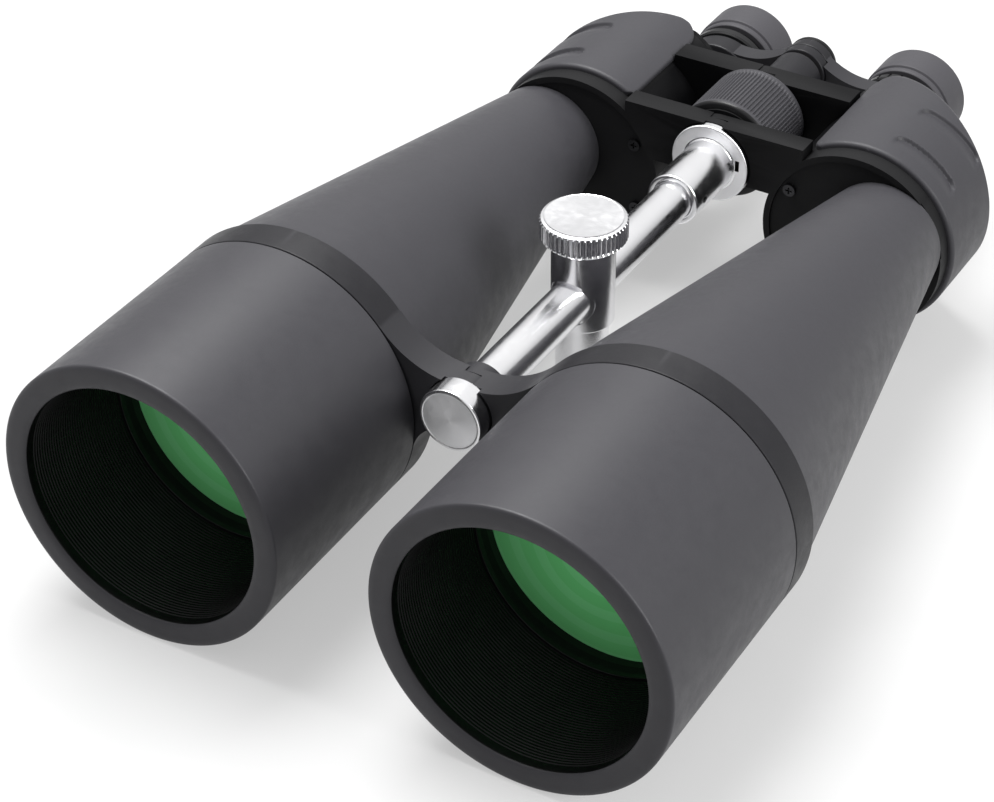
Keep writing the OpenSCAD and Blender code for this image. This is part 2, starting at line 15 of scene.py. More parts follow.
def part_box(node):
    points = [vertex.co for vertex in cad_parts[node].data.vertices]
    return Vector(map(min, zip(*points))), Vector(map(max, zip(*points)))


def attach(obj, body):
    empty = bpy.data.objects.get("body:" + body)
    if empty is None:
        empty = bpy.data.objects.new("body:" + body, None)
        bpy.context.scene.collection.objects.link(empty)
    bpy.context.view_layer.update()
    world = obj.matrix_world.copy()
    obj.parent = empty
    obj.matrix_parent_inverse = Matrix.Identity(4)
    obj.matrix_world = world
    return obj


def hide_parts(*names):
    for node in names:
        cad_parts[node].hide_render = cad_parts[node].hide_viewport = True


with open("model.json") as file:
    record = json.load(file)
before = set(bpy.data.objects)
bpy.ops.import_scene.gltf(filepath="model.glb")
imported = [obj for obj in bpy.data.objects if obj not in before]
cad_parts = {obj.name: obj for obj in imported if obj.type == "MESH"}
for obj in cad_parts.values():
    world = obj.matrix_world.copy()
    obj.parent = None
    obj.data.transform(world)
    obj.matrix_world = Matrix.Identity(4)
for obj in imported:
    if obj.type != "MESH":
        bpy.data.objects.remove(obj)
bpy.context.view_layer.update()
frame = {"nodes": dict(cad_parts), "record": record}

MM = 0.001
SIDES = {"left": -1, "right": 1}


# ---- Places, all read from the frame ----

def corner(node, index):
    """Lowest (0) or highest (1) corner of a CAD node, in metres."""
    return np.array(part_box(node)[index], float)


def centre(node):
    return (corner(node, 0) + corner(node, 1)) / 2


FRONT_Y = corner("right_hood", 0)[1]
AXIS_Z = centre("right_hood")[2]
BARREL_X = centre("right_hood")[0] / MM
HINGE_Z = (centre("tripod_rod")[2] - AXIS_Z) / MM
EYE_X = centre("right_ocular_tube")[0] / MM
EYE_Z = (centre("right_ocular_tube")[2] - AXIS_Z) / MM
POST_Y = (centre("tripod_post")[1] - FRONT_Y) / MM


def at(x, y, z):
    return Vector((x * MM, FRONT_Y + y * MM, AXIS_Z + z * MM))


def span(node, axis=1):
    """Where a CAD node starts and ends along an axis, as millimetre stations."""
    start = (0, FRONT_Y, AXIS_Z)[axis]
    return tuple((corner(node, i)[axis] - start) / MM for i in (0, 1))


def radius(node, axis=0):
    """Half the width of a round CAD node, in millimetres."""
    return (corner(node, 1)[axis] - corner(node, 0)[axis]) / 2 / MM


# ---- Outlines ----

def rounded(points, r, steps=4, closed=True):
    """Rounds the corners of an outline of (a, b) points by radius r, or by less where a side is short."""
    out = []
    n = len(points)
    straight = math.radians(172)
    for i, p in enumerate(points):
        if not closed and i in (0, n - 1):
            out.append(tuple(p))
            continue
        p = np.array(p, float)
        before = np.array(points[i - 1], float) - p
        after = np.array(points[(i + 1) % n], float) - p
        before_length, after_length = np.linalg.norm(before), np.linalg.norm(after)
        before, after = before / before_length, after / after_length
        turn = math.acos(max(-1, min(1, float(before @ after))))
        if turn > straight:
            out.append(tuple(p))
            continue
        reach = min(r / math.tan(turn / 2), before_length * 0.45, after_length * 0.45)
        a, b = p + before * reach, p + after * reach
        for k in range(steps + 1):
            t = k / steps
            out.append(tuple((1 - t) ** 2 * a + 2 * t * (1 - t) * p + t * t * b))
    return out


def arc(middle, r, a0, a1, n):
    """Points on a circle from angle a0 to a1, in degrees."""
    angles = [math.radians(a0 + (a1 - a0) * i / n) for i in range(n + 1)]
    return [(middle[0] + r * math.cos(a), middle[1] + r * math.sin(a)) for a in angles]


def bow(curve, rim, r):
    """Height of a spherical face over its rim, at radius r."""
    return math.sqrt(curve ** 2 - r ** 2) - math.sqrt(curve ** 2 - rim ** 2)


def crossing(p, a, q, b, side):
    """Where two circles cross: centres p and q, radii a and b, on the given side (1 or -1) of p to q."""
    p, q = np.array(p, float), np.array(q, float)
    d = np.linalg.norm(q - p)
    u = (q - p) / d
    t = (a * a - b * b + d * d) / (2 * d)
    return p + t * u + side * math.sqrt(a * a - t * t) * np.array([-u[1], u[0]])


def angle_of(middle, p):
    return math.degrees(math.atan2(p[1] - middle[1], p[0] - middle[0]))


def smoothstep(t):
    t = np.clip(t, 0, 1)
    return t * t * (3 - 2 * t)


def spaced(n):
    """Steps from 0 to 1 that close up towards both ends."""
    t = np.linspace(-1, 1, n)
    return (np.sign(t) * (1 - (1 - abs(t)) ** 1.5) + 1) / 2


# ---- Mesh tools ----

def new_object(name, verts, faces):
    mesh = bpy.data.meshes.new(name)
    mesh.from_pydata([tuple(v) for v in verts], [], faces)
    mesh.validate()
    obj = bpy.data.objects.new(name, mesh)
    bpy.context.scene.collection.objects.link(obj)
    face_outwards(obj)
    return obj


def face_outwards(obj):
    work = bmesh.new()
    work.from_mesh(obj.data)
    bmesh.ops.recalc_face_normals(work, faces=work.faces)
    work.to_mesh(obj.data)
    work.free()


def smooth(obj, angle=32):
    """Smooth shading with sharp edges over the given angle."""
    obj.data.shade_smooth()
    obj.data.set_sharp_from_angle(angle=math.radians(angle))
    obj.modifiers.new("weights", "WEIGHTED_NORMAL").keep_sharp = True
    return obj


def soften(obj, width, segments, angle):
    """Rounds the edges over the given angle, with a modifier that stays on the piece."""
    mod = obj.modifiers.new("edges", "BEVEL")
    mod.width = width * MM
    mod.segments = segments
    mod.limit_method = "ANGLE"
    mod.angle_limit = math.radians(angle)
    return mod


def lathe(name, profile, x=0.0, z=None, axis="Y", segments=160, ripple=None, closed=True):
    """Turns a profile of (radius, station) points about an axis along Y, or along Z through the post.

    ripple(station, angle, radius) changes the radius, for knurls and ribs. The object's origin is on
    the axis.
    """
    z = HINGE_Z if z is None else z
    verts, rings = [], []
    for r, station in profile:
        if r < 1e-6:
            rings.append([len(verts)])
            verts.append((0, station * MM, 0) if axis == "Y" else (0, 0, station * MM))
            continue
        ring = []
        for k in range(segments):
            a = 2 * math.pi * k / segments
            q = r if ripple is None else ripple(station, a, r)
            c, d = q * math.cos(a) * MM, q * math.sin(a) * MM
            ring.append(len(verts))
            verts.append((c, station * MM, d) if axis == "Y" else (c, d, station * MM))
        rings.append(ring)
    faces = []
    pairs = list(zip(rings, rings[1:]))
    if closed:
        pairs.append((rings[-1], rings[0]))
    for a, b in pairs:
        if len(a) == 1 and len(b) == 1:
            continue
        for k in range(segments):
            m = (k + 1) % segments
            if len(a) == 1:
                faces.append((a[0], b[k], b[m]))
            elif len(b) == 1:
                faces.append((a[k], b[0], a[m]))
            else:
                faces.append((a[k], b[k], b[m], a[m]))
    obj = new_object(name, verts, faces)
    obj.location = at(x, 0, z) if axis == "Y" else Vector((0, FRONT_Y + POST_Y * MM, AXIS_Z))
    return obj


def plate(name, outline, y0, y1):
    """Extrudes an outline of (x, z) points from station y0 to y1."""
    n = len(outline)
    verts = [at(x, y, z) for y in (y0, y1) for x, z in outline]
    faces = [tuple(range(n)), tuple(range(2 * n - 1, n - 1, -1))]
    faces += [(k, (k + 1) % n, n + (k + 1) % n, n + k) for k in range(n)]
    return new_object(name, verts, faces)


def rod_shape(x, z, y0, y1, r, segments=96):
    return lathe("tool", [(0, y0), (r, y0), (r, y1), (0, y1)], x, z, segments=segments, closed=False)


def bake_modifiers(obj):
    bpy.context.view_layer.update()
    evaluated = obj.evaluated_get(bpy.context.evaluated_depsgraph_get())
    mesh = bpy.data.meshes.new_from_object(evaluated)
    obj.modifiers.clear()
    obj.data = mesh


def carve(obj, others, operation):
    """Joins other solids on ("UNION"), cuts them away ("DIFFERENCE") or keeps what is in both ("INTERSECT").

    The other solids are removed.
    """
    for other in others:
        mod = obj.modifiers.new("solid", "BOOLEAN")
        mod.operation = operation
        mod.solver = "EXACT"
        mod.object = other
        bake_modifiers(obj)
        bpy.data.objects.remove(other, do_unlink=True)
    return obj


def piece(obj, body, slot, *nodes):
    """Ties a finished piece to its body, its finish and the CAD nodes that it stands for."""
    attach(obj, body)
    if nodes:
        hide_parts(*nodes)
    obj.data.materials.clear()
    obj.data.materials.append(MATERIALS[slot])
    return obj


def zone(obj, material, test):
    """Gives another material to the faces whose centre passes test(x, y, z), in the object's millimetres."""
    obj.data.materials.append(material)
    index = len(obj.data.materials) - 1
    for face in obj.data.polygons:
        c = face.center / MM
        if test(c.x, c.y, c.z):
            face.material_index = index


# ---- Materials ----

class Shader:
    """A small helper that adds nodes to one material."""

    def __init__(self, name):
        self.material = bpy.data.materials.new(name)
        self.material.use_nodes = True
        self.tree = self.material.node_tree
        self.bsdf = self.tree.nodes["Principled BSDF"]
        self.coords = self.node("ShaderNodeTexCoord").outputs["Object"]

    def node(self, kind, **settings):
        node = self.tree.nodes.new(kind)
        for key, value in settings.items():
            if hasattr(node, key):
                setattr(node, key, value)
            else:
                node.inputs[key].default_value = value
        return node

    def link(self, source, target):
        self.tree.links.new(source, target)

    def set(self, **values):
        for key, value in values.items():
            self.bsdf.inputs[key.replace("_", " ")].default_value = value

    def noise(self, scale, detail=4.0, rough=0.5):
        node = self.node("ShaderNodeTexNoise", Scale=scale, Detail=detail, Roughness=rough)
        self.link(self.coords, node.inputs["Vector"])
        return node.outputs["Fac"]

    def ramp(self, source, low, high, start=0.0, end=1.0):
        """Maps a value to a colour or a grey between start and end."""
        node = self.node("ShaderNodeValToRGB")
        node.color_ramp.elements[0].position = start
        node.color_ramp.elements[1].position = end
        node.color_ramp.elements[0].color = colour(low)
        node.color_ramp.elements[1].color = colour(high)
        self.link(source, node.inputs["Fac"])
        return node.outputs["Color"]

    def blend(self, fac, a, b):
        node = self.node("ShaderNodeMix", data_type="RGBA", blend_type="MIX")
        for socket, value in ((node.inputs[0], fac), (node.inputs[6], a), (node.inputs[7], b)):
            if isinstance(value, tuple):
                socket.default_value = colour(value)
            else:
                self.link(value, socket)
        return node.outputs[2]

    def bump(self, source, depth_mm):
        """Adds a bump of the given depth on top of any bump before it."""
        node = self.node("ShaderNodeBump", Strength=1.0, Distance=depth_mm * MM)
        self.link(source, node.inputs["Height"])
        normal = self.bsdf.inputs["Normal"]
        if normal.is_linked:
            self.link(normal.links[0].from_socket, node.inputs["Normal"])
        self.link(node.outputs["Normal"], normal)

    def rings(self, axis, pitch_mm, distortion):
        """Fine turning marks: waves in the distance along the axis."""
        node = self.node("ShaderNodeTexWave", wave_type="BANDS", bands_direction=axis,
                         Scale=math.pi / 10 / (pitch_mm * MM), Distortion=distortion, Detail=1.0)
        self.link(self.coords, node.inputs["Vector"])
        return node.outputs["Fac"]

    def circles(self, axis, pitch_mm):
        """Fine facing marks: waves in the distance from the axis."""
        node = self.node("ShaderNodeTexWave", wave_type="RINGS", rings_direction=axis,
                         Scale=math.pi / 10 / (pitch_mm * MM))
        self.link(self.coords, node.inputs["Vector"])
        return node.outputs["Fac"]


def colour(value):
    if isinstance(value, (int, float)):
        value = (value, value, value)
    return (*value[:3], 1.0)


def scaled(tone, factor, extra=0.0):
    """A colour times a factor, with something added, and never over 1."""
    return tuple(min(1, c * factor + extra) for c in tone)


def coated(name, tone, rough, grain_mm=0.35, grain_depth=0.012, speckle=0.12, sheen=0.0, gloss=0.25):
    """Matte or satin coat on metal or rubber: a fine grain, slow tone changes, dust and paler edges."""
    s = Shader(name)
    fine = s.noise(1 / (grain_mm * MM), detail=3.0, rough=0.65)
    slow = s.noise(14.0, detail=3.0)
    dust = s.noise(160.0, detail=6.0, rough=0.7)
    base = s.ramp(fine, scaled(tone, 1 - speckle), scaled(tone, 1 + speckle), 0.3, 0.7)
    base = s.blend(s.ramp(slow, 0.0, 0.35, 0.35, 0.75), base, scaled(tone, 1.06))
    edge = s.node("ShaderNodeNewGeometry").outputs["Pointiness"]
    base = s.blend(s.ramp(edge, 0.0, 0.5, 0.53, 0.62), base, scaled(tone, 1.9, 0.01))
    s.link(base, s.bsdf.inputs["Base Color"])
    s.link(s.ramp(dust, rough - 0.05, rough + 0.07, 0.35, 0.65), s.bsdf.inputs["Roughness"])
    s.set(Sheen_Weight=sheen, Specular_IOR_Level=gloss)
    s.bump(fine, grain_depth)
    return s.material


def turned_metal(name, tone, rough, axis, pitch_mm=0.28, depth=0.004, faced=False):
    """Turned and polished metal: lathe lines, faint smudges, and a brushed highlight round the axis."""
    s = Shader(name)
    lines = s.rings(axis, pitch_mm, 0.4)
    faces = s.circles(axis, pitch_mm)
    smudge = s.noise(45.0, detail=5.0, rough=0.6)
    wear = s.noise(420.0, detail=2.0)
    base = s.ramp(smudge, scaled(tone, 0.93), tone, 0.3, 0.7)
    base = s.blend(s.ramp(lines, 0.0, 0.10), base, scaled(tone, 0.75))
    s.link(base, s.bsdf.inputs["Base Color"])
    s.link(s.ramp(wear, rough - 0.03, rough + 0.05, 0.3, 0.7), s.bsdf.inputs["Roughness"])
    s.set(Metallic=1.0, Anisotropic=0.55 if faced else 0.35)
    tangent = s.node("ShaderNodeTangent", direction_type="RADIAL", axis=axis)
    s.link(tangent.outputs["Tangent"], s.bsdf.inputs["Tangent"])
    s.bump(lines, depth)
    s.bump(faces, depth)
    return s.material


def coated_glass(name, deep, bright, mirror, rough=0.03):
    """Coated glass: a deep body colour, paler clouds and zones, a tinted gloss, and a painted reflection that
    turns the colour bright towards grazing view angles.
    """
    s = Shader(name)
    bloom = s.noise(26.0, detail=2.0)
    zones = s.circles("Y", 9.0)
    # painted reflection: the body colour turns from deep to bright where the surface is seen at a grazing
    # angle
    facing = s.node("ShaderNodeLayerWeight", Blend=0.35).outputs["Facing"]
    base = s.blend(s.ramp(facing, 0.0, 1.0, 0.05, 0.75), deep, bright)
    base = s.blend(s.ramp(bloom, 0.0, 0.25, 0.35, 0.7), base, bright)
    base = s.blend(s.ramp(zones, 0.0, 0.18, 0.55, 0.62), base, scaled(bright, 1.35))
    s.link(base, s.bsdf.inputs["Base Color"])
    s.set(Roughness=rough, Coat_Weight=0.6, Coat_Roughness=0.02, Specular_IOR_Level=0.7)
    s.set(Specular_Tint=colour(mirror), Coat_Tint=colour(mirror))
    return s.material


def clear_glass(name, tint):
    s = Shader(name)
    haze = s.noise(70.0, detail=3.0)
    s.link(s.ramp(haze, scaled(tint, 0.9), tint, 0.3, 0.7), s.bsdf.inputs["Base Color"])
    s.link(s.ramp(haze, 0.02, 0.06, 0.4, 0.7), s.bsdf.inputs["Roughness"])
    s.set(Transmission_Weight=0.85, IOR=1.52)
    return s.material


CHARCOAL = (0.0215, 0.0210, 0.0243)
IRON = (0.0095, 0.0093, 0.0108)
JET = (0.004, 0.004, 0.0045)
SOOT = (0.0022, 0.0022, 0.0025)
ALUMINIUM = (0.90, 0.90, 0.915)

COATS = {
    "barrel_coat": dict(tone=CHARCOAL, rough=0.46, sheen=0.03),
    "armour_rubber": dict(tone=CHARCOAL, rough=0.50, grain_mm=0.5, grain_depth=0.02, sheen=0.03),
    "eyecup_rubber": dict(tone=(0.029, 0.028, 0.032), rough=0.56, grain_mm=0.4, grain_depth=0.02, sheen=0.04),
    "grip_rubber": dict(tone=(0.026, 0.0255, 0.029), rough=0.5, grain_mm=0.4, grain_depth=0.02),
    "bridge_black": dict(tone=IRON, rough=0.40, grain_mm=0.6, grain_depth=0.02, gloss=0.17),
    "housing_black": dict(tone=SOOT, rough=0.46, grain_mm=0.6, grain_depth=0.03, gloss=0.07),
    "black_anodised": dict(tone=JET, rough=0.34, grain_mm=0.25, grain_depth=0.006, gloss=0.2),
    "inner_metal": dict(tone=(0.06, 0.06, 0.063), rough=0.5),
}
METALS = {
    "polished_aluminium": dict(tone=ALUMINIUM, rough=0.17),
    "spring_brass": dict(tone=(0.70, 0.52, 0.24), rough=0.28),
    "screw_steel": dict(tone=(0.045, 0.045, 0.048), rough=0.35),
}
# bright is the colour of the paler clouds and zones, and of the painted reflection at grazing angles
COATED_GLASSES = {
    "objective_glass": dict(deep=(0.20, 0.66, 0.27), bright=(0.50, 1.0, 0.58), mirror=(0.45, 1.0, 0.55)),
    "flint_glass": dict(deep=(0.02, 0.10, 0.05), bright=(0.05, 0.22, 0.12), mirror=(0.5, 1.0, 0.6)),
    "eye_glass": dict(deep=(0.02, 0.015, 0.04), bright=(0.10, 0.05, 0.16), mirror=(0.8, 0.6, 1.0)),
}
MATERIALS = {name: coated(name, **look) for name, look in COATS.items()}
MATERIALS.update({name: turned_metal(name, axis="Y", **look) for name, look in METALS.items()})
MATERIALS.update({name: coated_glass(name, **look) for name, look in COATED_GLASSES.items()})
MATERIALS["prism_glass"] = clear_glass("prism_glass", (0.86, 0.93, 0.92))

# Finishes of a few faces, or of the pieces that stand upright
UPRIGHT_METAL = turned_metal("upright_aluminium", ALUMINIUM, 0.17, "Z")
FACED_METAL = turned_metal("faced_aluminium", ALUMINIUM, 0.42, "Y", faced=True)
FLAT_BLACK = coated("flat_black", (0.0012, 0.0012, 0.0013), 0.42, grain_mm=0.3, grain_depth=0.01, gloss=0.14)


# ---- Barrels and objectives ----

HOOD_R = radius("right_hood", 2)
BAND_R = radius("right_front_bridge", 2)
MOUTH_R = 40.6
LENS_R = radius("right_objective_crown", 2)


def hood(side, s):
    """Dew hood: broad rolled lip, satin outside, and a fine anti-reflection thread inside."""
    start, end = span(f"{side}_hood")
    step_y = span(f"{side}_barrel")[0] - 0.3
    sleeve_bore, taper_y = 45.1, 6
    thread_y, pitch, depth = 3.4, 1.15, 0.22
    thread = []
    y = thread_y
    while y < step_y - pitch:
        thread += [(MOUTH_R, y), (MOUTH_R + depth, y + pitch * 0.75)]
        y += pitch
    middle, half = (MOUTH_R + HOOD_R) / 2, (HOOD_R - MOUTH_R) / 2
    roll, fullness = 1.6, 0.7
    lip = []
    for degrees in range(180, -1, -9):
        c, d = math.cos(math.radians(degrees)), math.sin(math.radians(degrees))
        lip.append((middle + half * math.copysign(abs(c) ** fullness, c),
                    start + roll * (1 - abs(d) ** fullness)))
    tail = rounded([(HOOD_R, taper_y), (BAND_R, end), (sleeve_bore, end), (sleeve_bore, step_y)], 0.5, 3,
                   closed=False)
    profile = list(reversed(thread)) + lip + tail[1:] + [(MOUTH_R, step_y)]
    obj = smooth(lathe(f"{side}_hood_shell", profile, s * BARREL_X, 0, segments=224), 24)
    piece(obj, f"{side}_body", "barrel_coat", f"{side}_hood")
    zone(obj, FLAT_BLACK, lambda x, y, z: math.hypot(x, z) < MOUTH_R + 0.35 and y > 1.0)


def retainer(side, s):
    """Ring in front of the objective, with a cone down to its bore."""
    start, end = span(f"{side}_objective_retainer")
    outer, mouth, bore = 41.9, 40.3, 39.6
    cone0, cone1 = start + 2, start + 4.2
    outline = [(mouth, start), (outer, start), (outer, end), (bore, end), (bore, cone1), (mouth, cone0)]
    obj = lathe(f"{side}_retainer_ring", rounded(outline, 0.3, 3), s * BARREL_X, 0, segments=192)
    piece(smooth(obj, 30), f"{side}_body", "black_anodised", f"{side}_objective_retainer")


def crown(side, s):
    """Front glass of the objective: two bowed faces and a straight rim."""
    front_curve, rear_curve = 190.0, 150.0
    rim0, rim1 = 54.0, 59.0
    steps = 28
    radii = [LENS_R * i / steps for i in range(steps + 1)]
    front = [(r, rim0 - bow(front_curve, LENS_R, r)) for r in radii]
    rear = [(r, rim1 + bow(rear_curve, LENS_R, r)) for r in reversed(radii)]
    obj = lathe(f"{side}_objective_front_glass", front + rear, s * BARREL_X, 0, segments=192, closed=False)
    piece(smooth(obj, 40), f"{side}_body", "objective_glass", f"{side}_objective_crown")


def barrel(side, s):
    """Barrel: a sleeve inside the hood, the lens cell and seat, and the long cone down to its spigot."""
    start, end = span(f"{side}_barrel")
    cone_y, plate_y = 88.9, end - 3
    sleeve_r, sleeve_bore = 45, 42
    cone_front_r, cone_front_bore, cone_rear_r = 47, 42.6, 20.6
    spigot_r, spigot_bore = 18.4, 16.8
    cell_y, cell_bore = 54, 41.1
    seat_y, seat_bore = 68.1, 38.8
    outside = [(sleeve_bore, start), (sleeve_r, start), (sleeve_r, cone_y), (cone_front_r, cone_y),
               (cone_rear_r, plate_y), (spigot_r, plate_y), (spigot_r, end)]
    inside = [(spigot_bore, end), (spigot_bore, plate_y - 2), (cone_front_bore, cone_y + 3),
              (seat_bore, cone_y), (seat_bore, seat_y), (cell_bore, seat_y), (cell_bore, cell_y),
              (sleeve_bore, cell_y)]
    profile = rounded(outside + inside, 0.5, 3)
    obj = smooth(lathe(f"{side}_barrel_cone", profile, s * BARREL_X, 0, segments=224), 30)
    piece(obj, f"{side}_body", "barrel_coat", f"{side}_barrel")
    zone(obj, FLAT_BLACK, lambda x, y, z: y < cone_y - 0.9 or math.hypot(x, z) < spigot_bore + 0.1)


# ---- Front bridge ----

def bridge(side, s):
    """Band round the barrel that flows into the arm and the lapped knuckle on the rod."""
    band0, arm1 = span("right_front_bridge")
    band1 = band0 + 11.3
    arm0 = span("rod_cap_nut")[1] + 0.1
    lap = (arm0 + arm1) / 2
    knuckle_r, rod_bore, band_bore = 9.0, 7.02, 45.05
    web_r = band_bore + 0.75
    upper_r, lower_r = 32, 14
    hinge, hub = (0, HINGE_Z), (BARREL_X, 0)
    top = crossing(hinge, knuckle_r + upper_r, hub, BAND_R + upper_r, 1)
    low = crossing(hinge, knuckle_r + lower_r, hub, BAND_R + lower_r, -1)
    upper = arc(top, upper_r, angle_of(top, hinge) % 360, angle_of(top, hub) % 360, 24)
    lower = arc(low, lower_r, angle_of(low, hub), angle_of(low, hinge), 16)
    ring = arc(hub, web_r, angle_of(hub, upper[-1]) % 360, angle_of(hub, lower[0]) % 360, 16)
    outline = [(s * x, z) for x, z in [hinge] + upper + ring + lower]
    arm = plate("arm", outline, band0 + 0.05, band1 - 0.05)
    own = (lap + 0.1, arm1) if s > 0 else (arm0, lap - 0.1)
    other = (arm0 - 1, lap + 0.1) if s > 0 else (lap - 0.1, arm1 + 1)
    room = [rod_shape(0, HINGE_Z, other[0], other[1], knuckle_r + 0.4),
            rod_shape(0, HINGE_Z, band0 - 1, arm0, radius("rod_cap_nut") + 0.5)]
    carve(arm, room, "DIFFERENCE")
    band = rounded([(band_bore, band0), (BAND_R, band0), (BAND_R, band1), (band_bore, band1)], 0.5, 3)
    solids = [lathe("band", band, s * BARREL_X, 0, segments=224),
              rod_shape(0, HINGE_Z, own[0], own[1], knuckle_r)]
    carve(arm, solids, "UNION")
    carve(arm, [rod_shape(0, HINGE_Z, arm0 - 1, arm1 + 1, rod_bore)], "DIFFERENCE")
    arm.name = f"{side}_bridge_casting"
    soften(arm, 0.6, 2, 35).harden_normals = True
    piece(smooth(arm), f"{side}_body", "bridge_black", f"{side}_front_bridge")


# ---- Armour of the prism housings ----

HOUSING = (centre("right_prism_shelf")[0] / MM, (centre("right_prism_shelf")[2] - AXIS_Z) / MM)
ARMOUR_IN = 32.45
ARMOUR_R = corner("right_housing_armour", 1)[0] / MM - HOUSING[0]
ARMOUR_END = 302.0
SHOULDER_X, SHOULDER_SLOPE = 36.0, 0.4
SCALLOP_ENDS = (263.4, 284.2)


def scallop(y, theta, rear, depth=1.35, length=8.0):
    """Finger scallop: a crisp rear wall that turns forwards at both ends, fading out to the front."""
    middle, half = math.radians(57), math.radians(23)
    corner_r, wall_width = 4.0, 0.8
    across = (half - abs(theta - middle)) * ARMOUR_R
    u, v = corner_r - np.minimum(across, corner_r), corner_r - np.minimum(rear - y, corner_r)
    inside = corner_r - np.hypot(np.maximum(u, 0), np.maximum(v, 0))
    inside = np.where((across < 0) | (y > rear), -1.0, inside)
    return depth * smoothstep(inside / wall_width) * smoothstep((y - rear + length) / length)


def armour_point(u, v, front, reach):
    """Outer surface of the right armour, as (radius, angle, station), for u across and v along it, 0 to 1."""
    soft = 1.5
    front_corner, rear_corner = 4.0, 9.0
    base = ARMOUR_IN + 0.5
    half_width = ARMOUR_R * reach
    theta = reach * (2 * u - 1)
    x = HOUSING[0] + ARMOUR_R * math.cos(theta)
    rear = ARMOUR_END - SHOULDER_SLOPE * max(0, x - SHOULDER_X)
    y = front + (rear - front) * v
    corner_r = front_corner if v < 0.5 else rear_corner
    end_gap = min(y - front, rear - y)
    inset = corner_r - math.sqrt(max(0, corner_r * corner_r - max(0, corner_r - end_gap) ** 2))
    narrow = 1 - inset / half_width
    theta *= narrow
    side_gap = half_width * narrow - abs(theta) * ARMOUR_R
    edge = max(0.0, 1 - min(end_gap, side_gap) / soft)
    r = base + (ARMOUR_R - base) * math.sqrt(max(0.0, 1 - edge * edge))
    if theta > 0:
        r -= float(sum(scallop(y, theta, end) for end in SCALLOP_ENDS))
    return r, theta, y


def armour(side, s):
    """Rubber armour: a soft-edged shell round the housing with two finger scallops."""
    front = span(f"{side}_housing_armour")[0]
    edge_x = abs(corner(f"{side}_housing_armour", 0 if s > 0 else 1)[0]) / MM
    reach = math.acos((edge_x - HOUSING[0]) / ARMOUR_R)
    rows, columns = 190, 300
    points = [armour_point(u, v, front, reach) for v in spaced(rows) for u in spaced(columns)]
    outer = len(points)
    points += [(ARMOUR_IN, theta, y) for _, theta, y in points]
    verts = [at(s * (HOUSING[0] + r * math.cos(a)), y, HOUSING[1] + r * math.sin(a)) for r, a, y in points]
    faces = []
    for i in range(rows - 1):
        for j in range(columns - 1):
            a = i * columns + j
            quad = (a, a + 1, a + columns + 1, a + columns)
            faces.append(quad)
            faces.append(tuple(outer + k for k in reversed(quad)))
    rim = list(range(columns)) + [i * columns + columns - 1 for i in range(1, rows)]
    rim += [(rows - 1) * columns + j for j in range(columns - 2, -1, -1)]
    rim += [i * columns for i in range(rows - 2, 0, -1)]
    faces += [(a, b, outer + b, outer + a) for a, b in zip(rim, rim[1:] + rim[:1])]
    obj = smooth(new_object(f"{side}_rubber_armour", verts, faces), 50)
    piece(obj, f"{side}_body", "armour_rubber", f"{side}_housing_armour")


# ---- Eyepieces ----

FOLD_ROOM = 5.4


def eyecup(side, s):
    """Rubber eyecup: a beaded neck, a straight skirt and a rolled mouth."""
    start, end = span("right_eyecup")
    bore, neck, bead, skirt = 14.45, 16.1, 16.5, 17.1
    roll, bowl = 2.2, 12.5
    seat_y = end - 7.9
    profile = rounded([(bore, start), (neck, start), (bead, start + 0.6), (bead, start + 2.2),
                       (neck, start + 2.6), (skirt - 0.1, start + 3.1), (skirt, start + 4.2)],
                      0.4, 3, closed=False)
    profile += arc((skirt - roll, end - roll), roll, 0, 90, 8)
    profile += arc((bowl + roll, end - roll), roll, 90, 180, 8)
    profile += rounded([(bowl, end - 5), (bowl, seat_y), (bore, seat_y)], 0.5, 3, closed=False)
    obj = smooth(lathe(f"{side}_rubber_eyecup", profile, s * EYE_X, EYE_Z, segments=128), 40)
    piece(obj, "left_carriage" if s < 0 else "right_ocular", "eyecup_rubber", f"{side}_eyecup")


def arm(side, s):
    """Bridge arm: a waisted web from the spindle knuckle to the eyepiece ring.

    FOLD_ROOM keeps its lower side off the other arm at the full fold.
    """
    arm0, arm1, lap = 313.4, 321.6, 317.5
    knuckle0, knuckle1 = 313.0, 322.0
    knuckle_r, ring_r, waist = 9.2, 15.6, 26
    ring_bore, ocular_bore, spindle_bore = 11, 12.03, 4.23
    blend = waist - 0.4
    hinge, eye = (0, HINGE_Z), (EYE_X, EYE_Z)
    top = crossing(hinge, knuckle_r + blend, eye, ring_r + blend, 1)
    low = crossing(hinge, FOLD_ROOM + waist, eye, ring_r + blend, -1)
    upper = arc(top, waist, angle_of(top, hinge) % 360, angle_of(top, eye) % 360, 18)
    lower = arc(low, waist, angle_of(low, eye), angle_of(low, hinge), 18)
    outline = [(s * x, z) for x, z in [hinge] + upper + [eye] + lower]
    web = plate("arm", outline, arm0 + 0.5, arm1 - 0.5)
    own = (lap + 0.1, knuckle1) if s > 0 else (knuckle0, lap - 0.1)
    other = (arm0 - 1, lap + 0.1) if s > 0 else (lap - 0.1, arm1 + 1)
    carve(web, [rod_shape(0, HINGE_Z, other[0], other[1], knuckle_r + 0.4)], "DIFFERENCE")
    ring = rounded([(ring_bore, arm0), (ring_r, arm0), (ring_r, arm1), (ring_bore, arm1)], 0.9, 4)
    knuckle = rounded([(0, own[0]), (knuckle_r, own[0]), (knuckle_r, own[1]), (0, own[1])], 0.5, 3,
                      closed=False)
    carve(web, [lathe("ring", ring, s * EYE_X, EYE_Z), lathe("knuckle", knuckle, closed=False)], "UNION")
    bores = [rod_shape(s * EYE_X, EYE_Z, arm0 - 1, arm1 + 1, ocular_bore),
             rod_shape(0, HINGE_Z, knuckle0 - 1, knuckle1 + 1, spindle_bore)]
    carve(web, bores, "DIFFERENCE")
    web.name = f"{side}_bridge_arm"
    soften(web, 0.5, 3, 50)
    piece(smooth(web, 34), f"{side}_carriage", "bridge_black", f"{side}_eyepiece_arm")


# ---- Rod, hinge and focusing ----

ROD_FIT = 7.05
SLEEVE_R = 9.2


